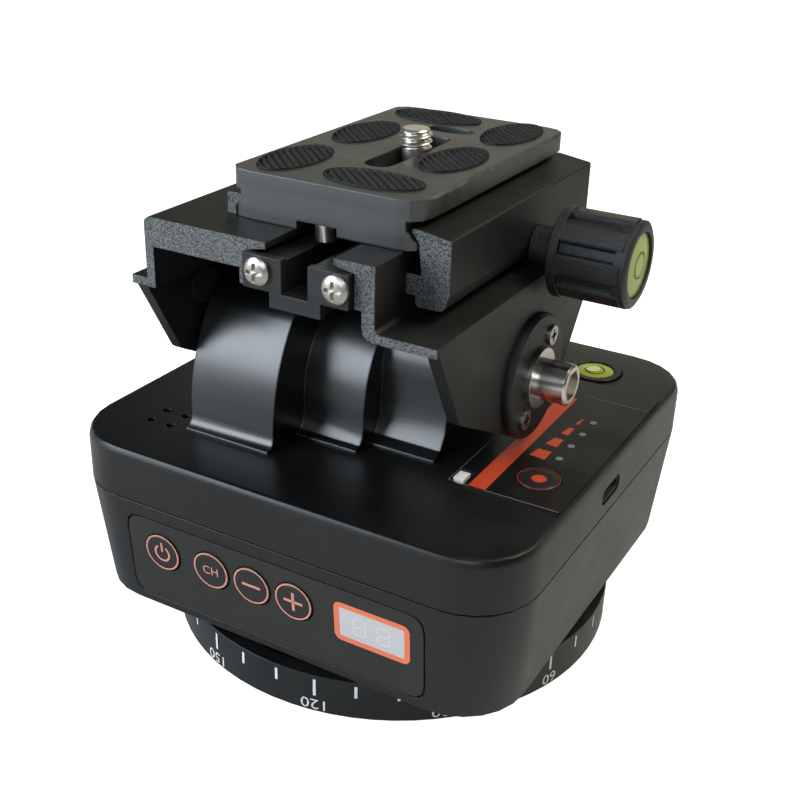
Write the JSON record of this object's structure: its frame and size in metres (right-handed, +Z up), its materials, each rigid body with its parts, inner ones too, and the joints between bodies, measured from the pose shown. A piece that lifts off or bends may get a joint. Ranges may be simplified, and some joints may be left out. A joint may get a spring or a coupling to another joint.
{
  "type": "remote pan tilt head",
  "caption": "Motorised pan tilt head: square housing on a round dial, stepped drum tilt housing, folded bracket, knob clamp and quick-release plate with camera screw.",
  "frame": {"origin": "where the pan axis meets the surface that the head stands on", "axes": "+Z up along the pan axis, the control panel on the front faces -Y, and the clamp knob and the USB side face +X"},
  "size_m": [0.1, 0.1, 0.1079],
  "materials": {
    "housing_plastic": "satin moulded black plastic",
    "drum_plastic": "smooth semi-gloss black plastic",
    "panel_film": "smooth dark film",
    "white_plastic": "satin white plastic",
    "display_lens": "light grey display behind a clear window",
    "rubber": "matt black rubber",
    "knob_plastic": "finely grained black plastic",
    "dial_plastic": "smooth black dial with a white scale",
    "gear_nylon": "white nylon",
    "board_laminate": "green board laminate",
    "battery_wrap": "blue shrink wrap",
    "vial_fluid": "clear yellow-green vial",
    "black_aluminium": "satin black anodised aluminium",
    "brushed_aluminium": "brushed dark anodised aluminium",
    "chrome": "bright chrome plating",
    "steel": "turned steel",
    "brass": "turned brass"
  },
  "bodies": {
    "base": {"dial_base": "dial_plastic", "rubber_ring": "rubber", "tripod_socket": "steel", "pan_spindle": "steel", "spindle_nut": "steel", "pan_gear": "gear_nylon"},
    "head": {"lower_housing": "housing_plastic", "top_cover": "housing_plastic", "tilt_housing": "drum_plastic", "pan_bearing": "steel", "pan_motor": "steel", "battery_pack": "battery_wrap", "usb_socket": "steel", "tilt_motor": "steel", "left_pivot": "steel", "control_panel": "panel_film", "display_window": "display_lens", "control_board": "board_laminate", "top_label": "panel_film", "level_cup": "housing_plastic", "level_vial": "vial_fluid"},
    "pan_drive": {"pan_pinion": "brass"},
    "tilt_drive": {"tilt_pinion": "brass"},
    "power_key": {"power_button": "panel_film"},
    "channel_key": {"channel_button": "panel_film"},
    "minus_key": {"minus_button": "panel_film"},
    "plus_key": {"plus_button": "panel_film"},
    "record_key": {"record_button": "panel_film"},
    "mode_slider": {"mode_switch": "white_plastic"},
    "tilt_bracket": {"bracket": "black_aluminium", "tilt_shaft": "steel", "tilt_gear": "brass", "flange_plate": "black_aluminium", "flange_screw_lower": "chrome", "flange_screw_upper": "chrome", "pivot_washer": "chrome", "pivot_screw": "chrome", "travel_stop": "rubber", "slide_channel": "black_aluminium", "end_plate_front": "brushed_aluminium", "end_plate_rear": "brushed_aluminium", "end_screw_front_left": "chrome", "end_screw_front_right": "chrome", "end_screw_rear_left": "chrome", "end_screw_rear_right": "chrome"},
    "jaw": {"clamp_jaw": "black_aluminium"},
    "knob": {"clamp_knob": "knob_plastic", "clamp_screw": "steel", "knob_vial": "vial_fluid"},
    "plate": {"release_plate": "brushed_aluminium", "grip_pad_side_a": "rubber", "grip_pad_side_b": "rubber", "grip_pad_mid_a": "rubber", "grip_pad_mid_b": "rubber", "grip_pad_end_a": "rubber", "grip_pad_end_b": "rubber", "stop_pin_front": "chrome", "stop_pin_rear": "chrome"},
    "screw_carrier": {"screw_retainer": "steel"},
    "screw": {"camera_screw": "chrome"}
  },
  "joints": [
    {"name": "pan", "type": "hinge", "parent": "base", "child": "head", "pos_m": [0, 0, 0.0116], "axis": [0, 0, 1], "range_deg": [-60, 60]},
    {"name": "pan_pinion_turn", "type": "hinge", "parent": "head", "child": "pan_drive", "pos_m": [0, 0.021, 0.006], "axis": [0, 0, 1], "range_deg": [-150, 150]},
    {"name": "tilt", "type": "hinge", "parent": "head", "child": "tilt_bracket", "pos_m": [0, -0.005, 0.0633], "axis": [1, 0, 0], "range_deg": [-15, 15]},
    {"name": "tilt_pinion_turn", "type": "hinge", "parent": "head", "child": "tilt_drive", "pos_m": [0.011, -0.005, 0.0513], "axis": [1, 0, 0], "range_deg": [-22.5, 22.5]},
    {"name": "power_press", "type": "slide", "parent": "head", "child": "power_key", "axis": [0, 0.9969, 0.0791], "range_m": [0, 0.0006], "stiffness_N_per_m": 400},
    {"name": "channel_press", "type": "slide", "parent": "head", "child": "channel_key", "axis": [0, 0.9969, 0.0791], "range_m": [0, 0.0006], "stiffness_N_per_m": 400},
    {"name": "minus_press", "type": "slide", "parent": "head", "child": "minus_key", "axis": [0, 0.9969, 0.0791], "range_m": [0, 0.0006], "stiffness_N_per_m": 400},
    {"name": "plus_press", "type": "slide", "parent": "head", "child": "plus_key", "axis": [0, 0.9969, 0.0791], "range_m": [0, 0.0006], "stiffness_N_per_m": 400},
    {"name": "record_press", "type": "slide", "parent": "head", "child": "record_key", "axis": [0, 0, -1], "range_m": [0, 0.0006], "stiffness_N_per_m": 400, "springref_m": -0.0001},
    {"name": "mode_shift", "type": "slide", "parent": "head", "child": "mode_slider", "axis": [0, 1, 0], "range_m": [-0.001, 0]},
    {"name": "jaw_slide", "type": "slide", "parent": "tilt_bracket", "child": "jaw", "axis": [1, 0, 0], "range_m": [0, 0.003]},
    {"name": "knob_turn", "type": "hinge", "parent": "jaw", "child": "knob", "pos_m": [0.035, 0.001, 0.0876], "axis": [1, 0, 0], "range_deg": [0, 1350]},
    {"name": "plate_slide", "type": "slide", "parent": "tilt_bracket", "child": "plate", "axis": [0, 1, 0], "range_m": [-0.005, 0.005]},
    {"name": "screw_slide", "type": "slide", "parent": "plate", "child": "screw_carrier", "axis": [0, 1, 0], "range_m": [-0.0128, 0.0076]},
    {"name": "screw_turn", "type": "hinge", "parent": "screw_carrier", "child": "screw", "pos_m": [0.0048, -0.005, 0.1], "axis": [0, 0, 1], "continuous": true}
  ],
  "couplings": [
    {"joint": "pan_pinion_turn", "follows": "pan", "ratio": 2.5},
    {"joint": "tilt_pinion_turn", "follows": "tilt", "ratio": -1.5},
    {"joint": "knob_turn", "follows": "jaw_slide", "rad_per_m": 7854}
  ]
}
